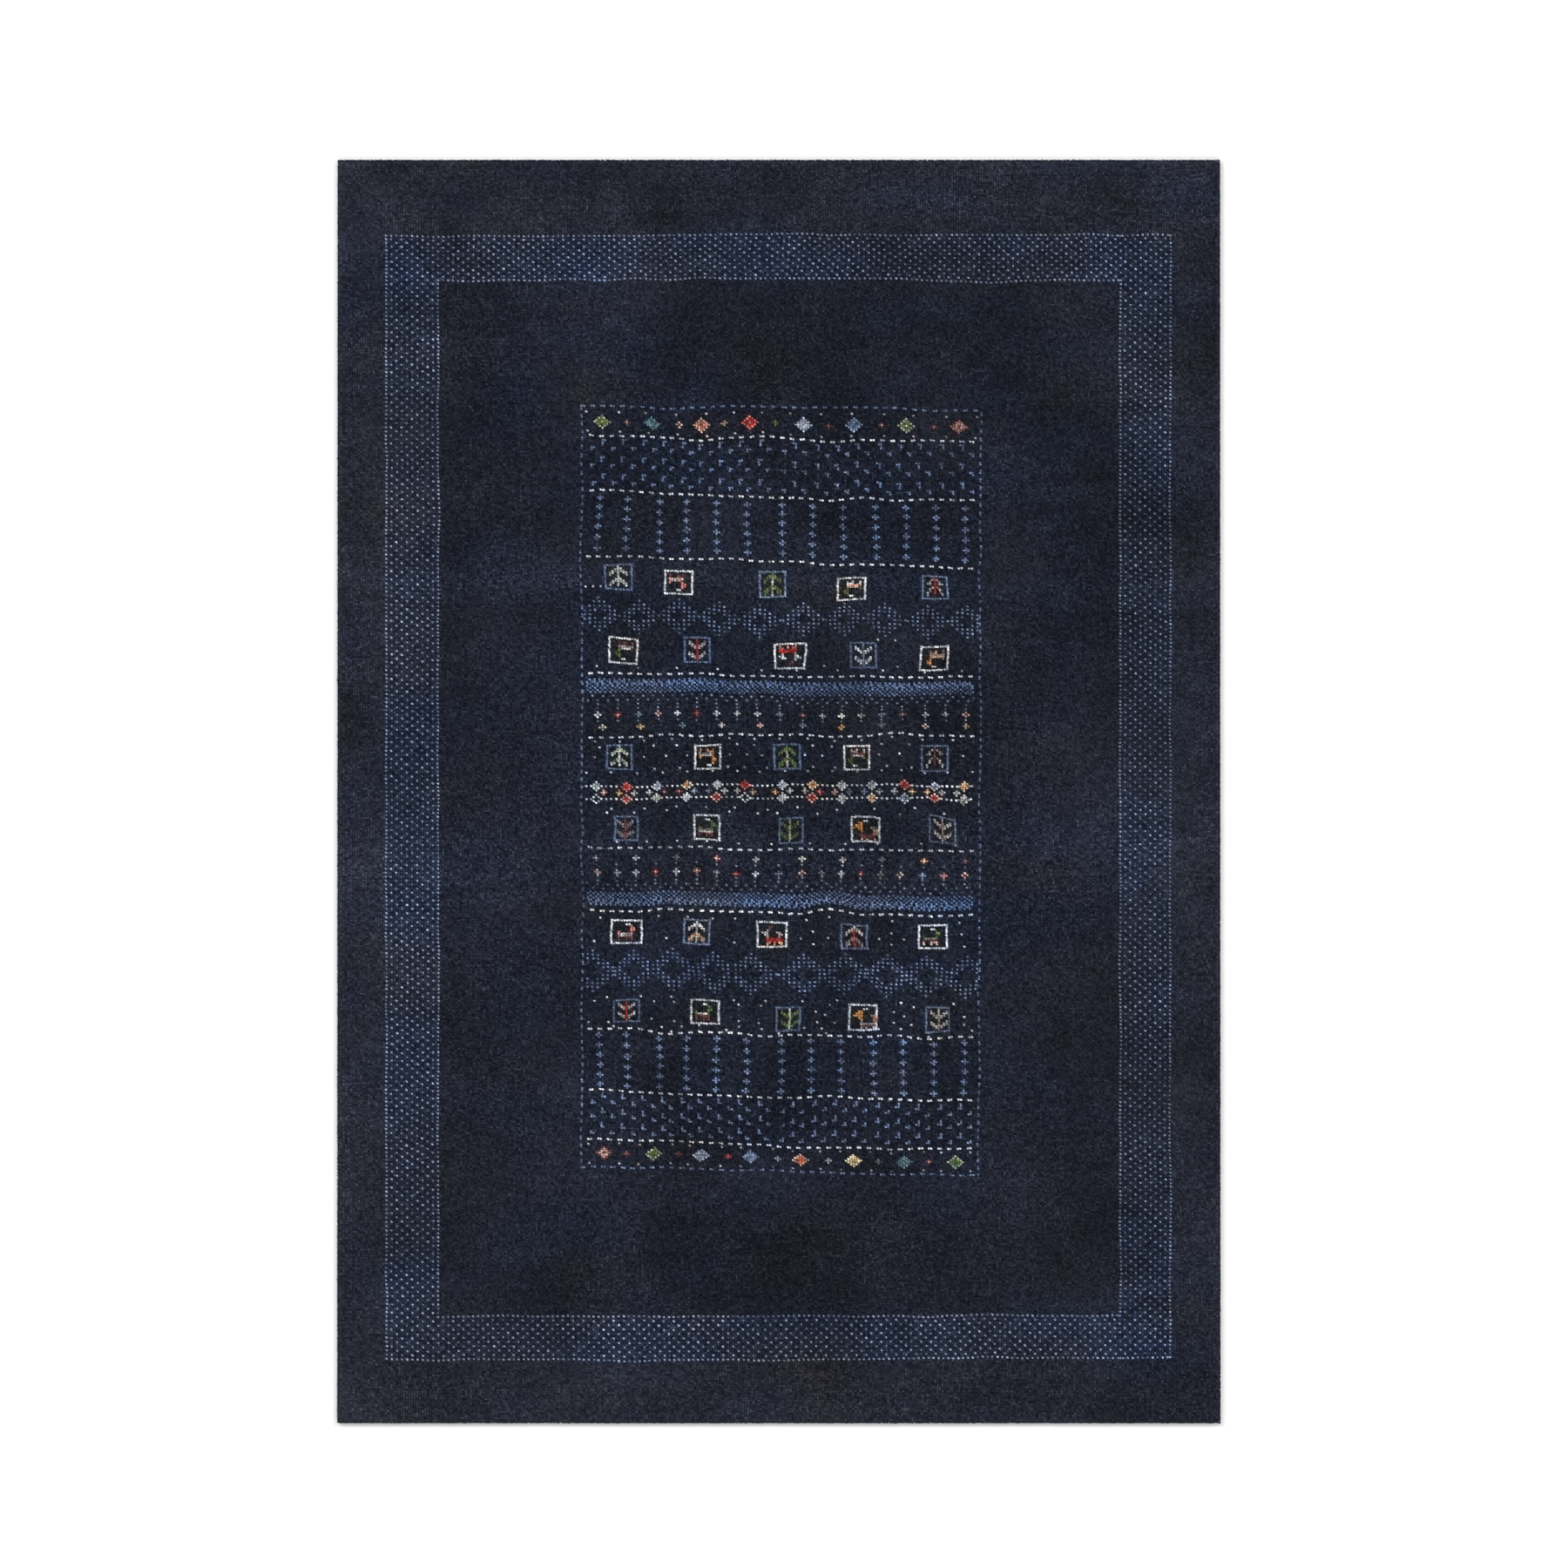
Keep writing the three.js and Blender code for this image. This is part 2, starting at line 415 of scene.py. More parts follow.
# Single pale knots strewn between the pictures: their row, then their columns in the panel
strewn = {
    219: (2, 5, 8),
    243: (118, 125), 256: (97, 126), 258: (6, 23, 38, 54, 71, 86, 102, 120, 137, 152),
    294: (5, 15, 25, 36, 48, 59, 69, 79, 90, 101, 112, 124, 136, 148),
    297: (7, 29, 38, 62, 69, 92, 100, 120, 131),
    302: (5, 25, 34, 42, 59, 66, 72, 89, 96, 119, 127, 152),
    308: (29, 39, 58, 65, 74, 92, 101, 122, 132),
    310: (2, 12, 22, 32, 42, 52, 62, 71, 81, 90, 100, 110, 120, 128, 137, 146, 156),
    328: (12, 25, 38, 50, 61, 74, 86, 102, 117, 133),
    330: (10, 21, 34, 59, 70, 78, 94, 127, 145),
    345: (14, 26, 38, 50, 63, 76, 91, 105, 118, 136, 149),
    382: (7, 31, 42, 52, 61, 90, 99, 124, 151), 388: (93, 124, 152), 391: (88, 99, 119, 129),
    394: (5, 34, 61, 93, 124, 153),
    422: (10, 24, 36, 61, 74, 88, 102, 128, 149), 424: (5, 29, 37, 63, 72, 99, 133), 427: (93, 125),
    429: (97, 129, 153), 433: (28, 37, 63, 71, 94, 101, 125, 132, 153),
    436: (3, 11, 19, 32, 40, 47, 63, 72, 82, 89, 96, 119, 128, 156), 438: (13, 36, 58, 79, 98, 139),
}


def layStrewn(chart):
    for row, columns in strewn.items():
        for column in columns:
            if chart[row, rugSize["panelLeft"] + column] == woolLetters.index("u"):
                layKnot(chart, row, rugSize["panelLeft"] + column, "W")


def makeChart():
    chart = np.zeros((rugSize["rows"], rugSize["columns"]), dtype=int)
    lines = panelRows["dashLines"]
    layBorder(chart)
    layPanelLines(chart)
    layEndFlowers(chart)
    layHooks(chart, lines[0], (2, 6, 11, 15, 20, 24), low=False)
    layCrosses(chart, lines[1], (4, 9, 14, 19, 24, 29))
    layDotChain(chart, lines[2], 21, 9, panelRows["diamondCentres"], 2, 4)
    layBlueBand(chart, lines[3], lower=False)
    layStarChain(chart, lines[4])
    layBlueBand(chart, lines[5], lower=True)
    layDotChain(chart, lines[6], 20, 11, panelRows["zigzagCentres"], 3, 5)
    layCrosses(chart, lines[7], (3, 8, 13, 18, 23, 28))
    layHooks(chart, lines[8], (2, 6, 10, 13, 17, 21), low=True)
    layPictures(chart)
    layStrewn(chart)
    return chart


# How the knots really lie. Columns: number, millimetres from the middle at the top end and at the bottom end.
# Rows: number, millimetres from the middle at the three places across.
weave = {
    "columnStations": [(0, -699, -700), (19.5, -622, -622), (39.5, -540, -540), (96.25, -313, -313),
                       (255.25, 321, 313), (312.5, 541, 541), (332.5, 620, 620), (353, 699, 700)],
    "across": (-295, 1, 284),
    "rowStations": [(0, 1001, 1001, 1001), (41.5, 880, 884, 882), (65.5, 811, 813, 810),
                    (128.5, 612, 610, 604), (143.5, 565, 560, 553), (171.5, 477, 466, 463),
                    (204.5, 374, 364, 355), (261.5, 186, 184, 181), (292.5, 87, 89, 86),
                    (317.5, 9, 11, 8), (323.5, -11, -9, -12), (348.5, -87, -93, -95),
                    (379.5, -185, -191, -195), (383.5, -199, -206, -210), (395.5, -235, -243, -247),
                    (424.5, -329, -339, -343), (436.5, -364, -375, -379), (439.5, -375, -386, -390),
                    (470.5, -474, -484, -489), (495.5, -551, -563, -565), (509.5, -595, -602, -608),
                    (581.5, -832, -832, -831), (601.5, -900, -901, -897), (631, -1001, -1001, -1001)],
    "wander": 0.0024,        # how far rows stray, and columns
    "wanderAcross": 0.0014,
    "jitter": 0.00034,       # and each knot by itself
    "wanderKnots": 13,       # how many knots until the straying turns
    "wanderStretch": 1.6,    # as many times further along a row or column
    "calmRim": 10,           # no straying at the rug's edge, and full only this many knots in
    "calmColumns": 90,       # it is least in the border too
    "calmRows": 120,
    "leastStray": 0.4,
}

pile = {
    "top": 0.0107,
    "rimDrop": 0.0024,       # how much lower the last knots stand
    "rimReach": 0.009,
    "waves": 0.00025,
    "waveKnots": (34, 30),
    "waveLimit": 1.6,
    "rimLean": 0.8,          # how far the last locks lean out over the edge
    "tuftLength": 0.0066,
    "tuftWidth": 0.0052,
    "tuftHeight": 0.0034,
    "slant": -34.0,          # degrees, the way the locks lie seen from above
    "slantSpread": 16.0,
    "lean": 15.0,
    "leanSpread": 9.0,
    "sizeSpread": 0.14,
    "strips": 5,
    "shadeSpread": 0.16,     # knot by knot, as a share of the wool's colour
    "groundSpread": 11.0,    # in the navy: lighter and darker hairs, in steps of 255
    "spreadLimits": (-1.9, 2.6),
    "bleed": 0.76,           # how much of its tint a blue or grey knot shares with those around it
    "bleedWarm": 0.5,        # and a warm one
    "bleedReach": 1.5,       # in knots
    "bleedKnots": 4,         # the farthest that it goes
    "cloudSpread": 0.15,     # in soft patches: how many rows and columns they span, and their share
    "clouds": [(26, 22, 1.0), (70, 50, 0.9), (8, 9, 0.65)],
    "cloudLimits": (0.5, 1.9),
    "streakSpread": 0.07,    # along the rows
    "streakKnots": (1.6, 40),
    "driftKnots": (20, 24),  # the navy drifts between blue and charcoal
    "driftShares": (-0.06, 0.005, 0.07),
    # where the ground is paler or darker: row, reach in rows, how much
    "paleRows": [(186, 14, -0.07), (214, 8, 0.28), (232, 8, -0.16), (352, 24, 0.44), (410, 14, 0.12)],
    "palerLeft": 0.08,       # and the whole rug towards the left and the foot
    "palerFoot": 0.07,
    "rightBorder": -0.10,    # the border's right side is darker, and its foot lighter
    "footBorder": 0.08,
    "rootShade": 0.24,       # painted shade: how much darker the wool is painted down between the locks, where shade falls
    "darkestLook": 3,        # in steps of 255
    "dyeLimits": (0.001, 0.95),
}


def softNoise(random, rows, columns, cellRows, cellColumns):
    # smooth random field, about one in spread
    coarse = random.normal(size=(int(rows / cellRows) + 4, int(columns / cellColumns) + 4))

    def eased(count, cell):
        t = np.arange(count) / cell + 1
        whole = np.floor(t).astype(int)
        part = t - whole
        return whole, part * part * (3 - 2 * part)

    r0, rt = eased(rows, cellRows)
    c0, ct = eased(columns, cellColumns)
    top = coarse[r0][:, c0] * (1 - ct) + coarse[r0][:, c0 + 1] * ct
    low = coarse[r0 + 1][:, c0] * (1 - ct) + coarse[r0 + 1][:, c0 + 1] * ct
    return top * (1 - rt[:, None]) + low * rt[:, None]


def calmness(place, count, reach):
    # how freely a row or column strays: not at all at the edge, little in the border
    inward = np.minimum(place, count - place)
    return np.minimum(1, inward / weave["calmRim"]) * np.clip(inward / reach, weave["leastStray"], 1)


def knotPlaces(random):
    rows, columns = rugSize["rows"], rugSize["columns"]
    r, c = np.arange(rows) + 0.5, np.arange(columns) + 0.5
    columnTable, rowTable = np.array(weave["columnStations"]), np.array(weave["rowStations"])
    down = (r / rows)[:, None]
    atTop, atFoot = (np.interp(c, columnTable[:, 0], columnTable[:, n]) for n in (1, 2))
    x = atTop * (1 - down) + atFoot * down
    lanes = np.stack([np.interp(r, rowTable[:, 0], rowTable[:, n]) for n in (1, 2, 3)], axis=1)
    a, b, d = weave["across"]
    t = np.clip(x, a, d)
    y = np.where(t < b,
                 lanes[:, 0:1] + (lanes[:, 1:2] - lanes[:, 0:1]) * (t - a) / (b - a),
                 lanes[:, 1:2] + (lanes[:, 2:3] - lanes[:, 1:2]) * (t - b) / (d - b))
    x, y = x / 1000, y / 1000
    calmX = calmness(c, columns, weave["calmColumns"])[None, :]
    calmY = calmness(r, rows, weave["calmRows"])[:, None]
    cell, least = weave["wanderKnots"], weave["leastStray"]
    long = cell * weave["wanderStretch"]
    x = x + weave["wanderAcross"] * softNoise(random, rows, columns, cell, long) * calmX
    y = y + weave["wander"] * softNoise(random, rows, columns, long, cell) * calmY
    x = x + random.normal(size=x.shape) * weave["jitter"] * (least + (1 - least) * calmX)
    y = y + random.normal(size=y.shape) * weave["jitter"] * (least + (1 - least) * calmY)
    return x, y


def linearColour(rgb):
    s = np.asarray(rgb, dtype=float) / 255
    return np.where(s <= 0.04045, s / 12.92, ((s + 0.055) / 1.055) ** 2.4)


def sharedTint(look):
    # a knot gives some of its tint to those around it, while its brightness stays its own
    grey = (look @ np.array([0.30, 0.59, 0.11]))[..., None]
    tint = look - grey
    shared = tint * np.where(tint[..., :1] > tint[..., 2:], pile["bleedWarm"], pile["bleed"])
    around = shared
    steps = np.arange(-pile["bleedKnots"], pile["bleedKnots"] + 1)
    shares = np.exp(-0.5 * (steps / pile["bleedReach"]) ** 2)
    for axis in (0, 1):
        around = sum(share * np.roll(around, step, axis) for step, share in zip(steps, shares / shares.sum()))
    return grey + tint - shared + around


def shadeCloud(isGround, random):
    # how much lighter or darker the rug is at each knot
    rows, columns = isGround.shape
    cloud = 1 + pile["cloudSpread"] * sum(share * softNoise(random, rows, columns, down, across)
                                          for down, across, share in pile["clouds"])
    cloud *= 1 + pile["streakSpread"] * softNoise(random, rows, columns, *pile["streakKnots"])
    row = np.arange(rows)[:, None]
    for middle, reach, gain in pile["paleRows"]:
        cloud = cloud + np.where(isGround, gain, 0) * np.exp(-((row - middle) / reach) ** 2)
    cloud = cloud + pile["palerFoot"] * (2 * row / rows - 1)
    cloud = cloud - pile["palerLeft"] * (2 * np.arange(columns) / columns - 1)
    b = borderBands
    cloud[b["outerTop"]:b["innerBottom"], b["innerRight"]:b["outerRight"] + 1] += pile["rightBorder"]
    cloud[b["innerBottom"]:b["outerBottom"] + 1, b["outerLeft"]:b["outerRight"] + 1] += pile["footBorder"]
    return np.clip(cloud, *pile["cloudLimits"])[..., None]


def knotColours(chart, random):
    # worked out as the colours look, then turned into what the wool must be
    look = sharedTint(np.array([wools[letter] for letter in woolLetters], dtype=float)[chart])
    chance = np.clip(random.normal(size=chart.shape), *pile["spreadLimits"])[..., None]
    isGround = np.isin(chart, groundWools)
    look = np.where(isGround[..., None], look + pile["groundSpread"] * chance,
                    look * (1 + pile["shadeSpread"] * chance))
    cloud = shadeCloud(isGround, random)
    drift = softNoise(random, *chart.shape, *pile["driftKnots"])[..., None] * np.array(pile["driftShares"])
    colour = linearColour(np.clip(look, pile["darkestLook"], 255)) / rugSize["lightGain"] * (1 + drift)
    return np.clip(colour * cloud, *pile["dyeLimits"])


def newTree(name, sizes):
    # a geometry tree with named inputs, each one (name, kind, value)
    tree = bpy.data.node_groups.new(name, "GeometryNodeTree")
    tree.interface.new_socket("Geometry", in_out="INPUT", socket_type="NodeSocketGeometry")
    for label, kind, value in sizes:
        socket = tree.interface.new_socket(label, in_out="INPUT", socket_type="NodeSocket" + kind)
        if value is not None:
            socket.default_value = value
    tree.interface.new_socket("Geometry", in_out="OUTPUT", socket_type="NodeSocketGeometry")
    return tree


nodeStep = 220               # the nodes of a tree stand side by side in the order they are made


def addNode(tree, kind, inputs=None, **settings):
    # a node of either kind of tree; an input takes a value or another node's output
    node = tree.nodes.new(kind)
    node.location = (nodeStep * len(tree.nodes), 0)
    for key, value in settings.items():
        setattr(node, key, value)
    for label, value in (inputs or {}).items():
        if isinstance(value, bpy.types.NodeSocket):
            tree.links.new(value, node.inputs[label])
        else:
            node.inputs[label].default_value = value
    return node


def addSpread(tree, given, middle, width, seedShift):
    # middle plus or minus the input named width, knot by knot
    seed = addNode(tree, "ShaderNodeMath", {0: given.outputs["Seed"], 1: seedShift}, operation="ADD")
    chance = addNode(tree, "FunctionNodeRandomValue", {
        "Min": -1.0, "Max": 1.0, "Seed": seed.outputs["Value"]})
    spreadOut = addNode(tree, "ShaderNodeMath", {
        0: chance.outputs["Value"], 1: given.outputs[width], 2: middle}, operation="MULTIPLY_ADD")
    return spreadOut.outputs["Value"]


def addLock(tree, given):
    # one lock of wool, a cone of four sides, with root and tip told apart before it is sized
    cone = addNode(tree, "GeometryNodeMeshCone", {
        "Vertices": 4, "Side Segments": 1, "Radius Top": 0.0, "Radius Bottom": 0.5, "Depth": 1.0},
        fill_type="NONE")
    place = addNode(tree, "GeometryNodeInputPosition")
    split = addNode(tree, "ShaderNodeSeparateXYZ", {"Vector": place.outputs["Position"]})
    tip = addNode(tree, "GeometryNodeStoreNamedAttribute", {
        "Name": "rootToTip", "Geometry": cone.outputs["Mesh"], "Value": split.outputs["Z"]},
        data_type="FLOAT", domain="POINT")
    sides = zip("XYZ", ("Tuft Length", "Tuft Width", "Tuft Height"))
    size = addNode(tree, "ShaderNodeCombineXYZ", {axis: given.outputs[label] for axis, label in sides})
    sized = addNode(tree, "GeometryNodeTransform", {
        "Geometry": tip.outputs["Geometry"], "Scale": size.outputs["Vector"]})
    return sized.outputs["Geometry"]


def addStance(tree, given):
    # along the point's growth, turned to the slant, then leaning
    growth = addNode(tree, "GeometryNodeInputNamedAttribute", {"Name": "growth"}, data_type="FLOAT_VECTOR")
    stand = addNode(tree, "FunctionNodeAlignRotationToVector", {
        "Vector": growth.outputs["Attribute"]}, axis="Z")
    stance = stand.outputs["Rotation"]
    for seedShift, (label, axis) in enumerate((("Slant", (0, 0, 1)), ("Lean", (0, 1, 0))), 1):
        angle = addSpread(tree, given, given.outputs[label], label + " Spread", seedShift)
        turn = addNode(tree, "FunctionNodeAxisAngleToRotation", {"Axis": axis, "Angle": angle})
        turned = addNode(tree, "FunctionNodeRotateRotation", {
            "Rotation": stance, "Rotate By": turn.outputs["Rotation"]}, rotation_space="LOCAL")
        stance = turned.outputs["Rotation"]
    return stance


def makeTuftTree():
    # a lock of wool at every point
    tree = newTree("tuftOnEveryKnot", [
        ("Tuft Length", "Float", pile["tuftLength"]), ("Tuft Width", "Float", pile["tuftWidth"]),
        ("Tuft Height", "Float", pile["tuftHeight"]), ("Slant", "Float", 0.0), ("Slant Spread", "Float", 0.0),
        ("Lean", "Float", 0.0), ("Lean Spread", "Float", 0.0), ("Size Spread", "Float", pile["sizeSpread"]),
        ("Seed", "Int", rugSize["seed"]), ("Wool", "Material", None)])
    given = addNode(tree, "NodeGroupInput")
    scale = addNode(tree, "ShaderNodeCombineXYZ", {
        axis: addSpread(tree, given, 1.0, "Size Spread", n) for n, axis in enumerate("XYZ", 3)})
    plant = addNode(tree, "GeometryNodeInstanceOnPoints", {
        "Points": given.outputs["Geometry"], "Instance": addLock(tree, given),
        "Rotation": addStance(tree, given), "Scale": scale.outputs["Vector"]})
    real = addNode(tree, "GeometryNodeRealizeInstances", {"Geometry": plant.outputs["Instances"]})
    smooth = addNode(tree, "GeometryNodeSetShadeSmooth", {"Geometry": real.outputs["Geometry"]})
    wool = addNode(tree, "GeometryNodeSetMaterial", {
        "Geometry": smooth.outputs["Geometry"], "Material": given.outputs["Wool"]})
    addNode(tree, "NodeGroupOutput", {"Geometry": wool.outputs["Geometry"]})
    return tree


def growTufts(name, tree, places, growth, colours, sizes, wool):
    # points with their attributes, the tree on them, and the result as a plain mesh
    mesh = bpy.data.meshes.new(name)
    mesh.from_pydata(places.tolist(), [], [])
    grow = mesh.attributes.new("growth", "FLOAT_VECTOR", "POINT")
    grow.data.foreach_set("vector", np.ascontiguousarray(growth, dtype=np.float32).ravel())
    paint = mesh.attributes.new("knotColour", "FLOAT_COLOR", "POINT")
    rgba = np.concatenate([colours, np.ones((len(colours), 1))], axis=1).astype(np.float32)
    paint.data.foreach_set("color", rgba.ravel())
    piece = bpy.data.objects.new(name, mesh)
    bpy.context.scene.collection.objects.link(piece)
    modifier = piece.modifiers.new("tufts", "NODES")
    modifier.node_group = tree
    sockets = {item.name: item.identifier for item in tree.interface.items_tree if item.in_out == "INPUT"}
    for label, value in dict(sizes, Wool=wool).items():
        modifier[sockets[label]] = value
    graph = bpy.context.evaluated_depsgraph_get()
    grown = bpy.data.meshes.new_from_object(piece.evaluated_get(graph))
    piece.modifiers.remove(modifier)
    piece.data = grown
    grown.name = name
    bpy.data.meshes.remove(mesh)
    grown.attributes.remove(grown.attributes["growth"])
    return piece


woolLook = {
    "slant": 34.0,                # degrees, the way the fibres lie
    "fibreStretch": 0.45,
    "fibreShades": (0.6, 1.45),   # the darkest and lightest fibres against the wool's colour
    "roughnessShares": (-0.08, 0.06),
    "specular": 0.1,
    "sheen": 0.05,
    "sheenRoughness": 0.55,
    "sheenTint": (0.75, 0.80, 0.92, 1),
    "bump": 0.5,
    "rootReach": (0.04, 0.5),     # the part of a lock over which the root's shade thins out
}


def startWool(name, roughness, fibreScale, bumpDepth):
    # what both wools share: fine noise stretched along the slant, for shade and roughness
    material = bpy.data.materials.new(name)
    material.use_nodes = True
    tree = material.node_tree
    tree.nodes.clear()
    coords = addNode(tree, "ShaderNodeTexCoord")
    turned = addNode(tree, "ShaderNodeMapping", {
        "Vector": coords.outputs["Object"], "Rotation": (0, 0, math.radians(woolLook["slant"])),
        "Scale": (woolLook["fibreStretch"], 1.0, 1.0)})
    fibres = addNode(tree, "ShaderNodeTexNoise", {
        "Vector": turned.outputs["Vector"], "Scale": fibreScale, "Detail": 3.0, "Roughness": 0.6})
    dark, light = woolLook["fibreShades"]
    fibreShade = addNode(tree, "ShaderNodeMapRange", {
        "Value": fibres.outputs["Fac"], "From Min": 0.3, "From Max": 0.7, "To Min": dark, "To Max": light})
    shaded = addNode(tree, "ShaderNodeMix", {"Factor": 1.0, "B": fibreShade.outputs["Result"]},
                     data_type="RGBA", blend_type="MULTIPLY")
    smoother, rougher = woolLook["roughnessShares"]
    rough = addNode(tree, "ShaderNodeMapRange", {
        "Value": fibres.outputs["Fac"], "To Min": roughness + smoother, "To Max": roughness + rougher})
    bump = addNode(tree, "ShaderNodeBump", {"Strength": woolLook["bump"], "Distance": bumpDepth})
    shader = addNode(tree, "ShaderNodeBsdfPrincipled", {
        "Base Color": shaded.outputs["Result"], "Roughness": rough.outputs["Result"],
        "Normal": bump.outputs["Normal"], "Specular IOR Level": woolLook["specular"],
        "Sheen Weight": woolLook["sheen"], "Sheen Roughness": woolLook["sheenRoughness"],
        "Sheen Tint": woolLook["sheenTint"]})
    addNode(tree, "ShaderNodeOutputMaterial", {"Surface": shader.outputs["BSDF"]})
    return material, coords, fibres, shaded, bump


def makePileWool():
    # each lock in its knot's colour, with painted shade that darkens it towards its root
    material, coords, fibres, shaded, bump = startWool(
        "dyedPileWool", roughness=0.9, fibreScale=900.0, bumpDepth=0.0005)
    tree = material.node_tree
    dyed = addNode(tree, "ShaderNodeVertexColor", layer_name="knotColour")
    depth = addNode(tree, "ShaderNodeAttribute", attribute_name="rootToTip")
    near, far = woolLook["rootReach"]
    # painted shade: the knot's colour is darkened near the root of each lock, where the locks shade each
    # other
    paintedShade = addNode(tree, "ShaderNodeMapRange", {
        "Value": depth.outputs["Fac"], "From Min": near, "From Max": far,
        "To Min": pile["rootShade"], "To Max": 1.0}, interpolation_type="SMOOTHSTEP")
    # the dyed colour times the painted root shade
    dyeWithPaintedShade = addNode(tree, "ShaderNodeMix", {
        "Factor": 1.0, "A": dyed.outputs["Color"], "B": paintedShade.outputs["Result"]},
        data_type="RGBA", blend_type="MULTIPLY")
    tree.links.new(dyeWithPaintedShade.outputs["Result"], shaded.inputs["A"])
    tree.links.new(fibres.outputs["Fac"], bump.inputs["Height"])
    return material


backLook = {
    "colour": (0.02, 0.022, 0.03),
    "cloudScale": 14.0,
    "cloudShades": (0.75, 1.3),
    "pips": {"Scale": 50.0, "Distortion": 0.6},    # the rows of knots, seen from behind
    "warps": {"Scale": 40.0, "Distortion": 0.5},
    "fibreShare": 0.35,
}


def makeBackWool():
    # plain navy in soft clouds, with the pips of the knots in rows
    material, coords, fibres, shaded, bump = startWool(
        "navyBackWool", roughness=0.92, fibreScale=420.0, bumpDepth=0.0009)
    tree = material.node_tree
    place = coords.outputs["Object"]
    clouds = addNode(tree, "ShaderNodeTexNoise", {"Vector": place, "Scale": backLook["cloudScale"]})
    drift = addNode(tree, "ShaderNodeValToRGB", {"Fac": clouds.outputs["Fac"]})
    for element, position, share in zip(drift.color_ramp.elements, (0.3, 0.7), backLook["cloudShades"]):
        element.position = position
        element.color = tuple(v * share for v in backLook["colour"]) + (1,)
    pips = addNode(tree, "ShaderNodeTexWave", dict(backLook["pips"], Vector=place), bands_direction="Y")
    warps = addNode(tree, "ShaderNodeTexWave", dict(backLook["warps"], Vector=place), bands_direction="X")
    both = addNode(tree, "ShaderNodeMath", {0: pips.outputs["Fac"], 1: warps.outputs["Fac"]},
                   operation="MULTIPLY")
    relief = addNode(tree, "ShaderNodeMath", {
        0: fibres.outputs["Fac"], 1: backLook["fibreShare"], 2: both.outputs["Value"]},
        operation="MULTIPLY_ADD")
    tree.links.new(drift.outputs["Color"], shaded.inputs["A"])
    tree.links.new(relief.outputs["Value"], bump.inputs["Height"])
    return material


bodySlab = {
    # inset from the pile's outline and height, from the underside up, in millimetres
    "profile": [(2.6, 0.0), (1.7, 0.9), (1.5, 5.6), (2.4, 7.4), (4.2, 7.9)],
    "halfWidth": 0.6998,
    "halfLength": 1.0004,
    "cornerRadius": 0.007,
    "cornerSteps": 5,
    "edgeStep": 0.02,
}


def rimPath(inset):
    # the rug's outline, counter-clockwise, as points and outward directions
    w, h, radius = bodySlab["halfWidth"] - inset, bodySlab["halfLength"] - inset, bodySlab["cornerRadius"]
    points, outward = [], []
    corners = [(w - radius, radius - h, -90), (w - radius, h - radius, 0),
               (radius - w, h - radius, 90), (radius - w, radius - h, 180)]
    for n, (cx, cy, start) in enumerate(corners):
        for k in range(bodySlab["cornerSteps"] + 1):
            angle = math.radians(start + 90 * k / bodySlab["cornerSteps"])
            points.append((cx + radius * math.cos(angle), cy + radius * math.sin(angle)))
            outward.append((math.cos(angle), math.sin(angle)))
        nx, ny, _ = corners[(n + 1) % 4]
        angle = math.radians(start + 90)
        here = points[-1]
        there = (nx + radius * math.cos(angle), ny + radius * math.sin(angle))
        steps = round(math.dist(here, there) / bodySlab["edgeStep"])
        for k in range(1, steps):
            points.append(tuple(a + (b - a) * k / steps for a, b in zip(here, there)))
            outward.append((math.cos(angle), math.sin(angle)))
    return np.array(points), np.array(outward)


def makeBody(wool):
    # back, sides and the dense foot of the pile, one closed slab
    rings = [rimPath(inset / 1000)[0] for inset, _ in bodySlab["profile"]]
    count = len(rings[0])
    vertices = [(x, y, bodySlab["profile"][n][1] / 1000) for n, ring in enumerate(rings) for x, y in ring]
    faces = []
    for low in range(0, (len(rings) - 1) * count, count):
        for k in range(count):
            after = (k + 1) % count
            faces.append((low + k, low + after, low + count + after, low + count + k))
    for level, z in ((0, 0.0), (len(rings) - 1, bodySlab["profile"][-1][1] / 1000)):
        middle = len(vertices)
        vertices.append((0, 0, z))
        ring = level * count
        for k in range(count):
            pair = (ring + k, ring + (k + 1) % count)
            faces.append((middle,) + (pair if level else pair[::-1]))
    mesh = bpy.data.meshes.new("rugBody")
    mesh.from_pydata(vertices, [], faces)
    mesh.materials.append(wool)
    piece = bpy.data.objects.new("rugBody", mesh)
    bpy.context.scene.collection.objects.link(piece)
    return piece


tuftPoints = 5               # the roots of a lock's four sides, and its tip


def tuftParts(mesh):
    # where each of a lock's points goes in its square: the tip in the middle, the roots at the corners
    corners = iter([(0, 0), (1, 0), (1, 1), (0, 1)])
    tips = [mesh.attributes["rootToTip"].data[k].value for k in range(tuftPoints)]
    return [(0.5, 0.5) if tip > 0.5 else next(corners) for tip in tips]


def foldedMap(piece, rows, columns):
    # a map that lays every lock in its own small square, the long strip folded into three
    folds = 3
    height = math.ceil(rows / folds)
    row, column = np.divmod(np.arange(rows * columns), columns)
    u = (column + columns * (row // height)) / (columns * folds)
    v = (row % height) / height
    loops = np.zeros(len(piece.data.loops), dtype=np.int32)
    piece.data.loops.foreach_get("vertex_index", loops)
    tuft, part = np.divmod(loops, tuftPoints)
    shape = np.array(tuftParts(piece.data))
    uv = np.stack([u[tuft] + shape[part, 0] / (columns * folds), v[tuft] + shape[part, 1] / height], axis=1)
    layer = piece.data.uv_layers.new(name="OFBake")
    layer.data.foreach_set("uv", uv.astype(np.float32).ravel())


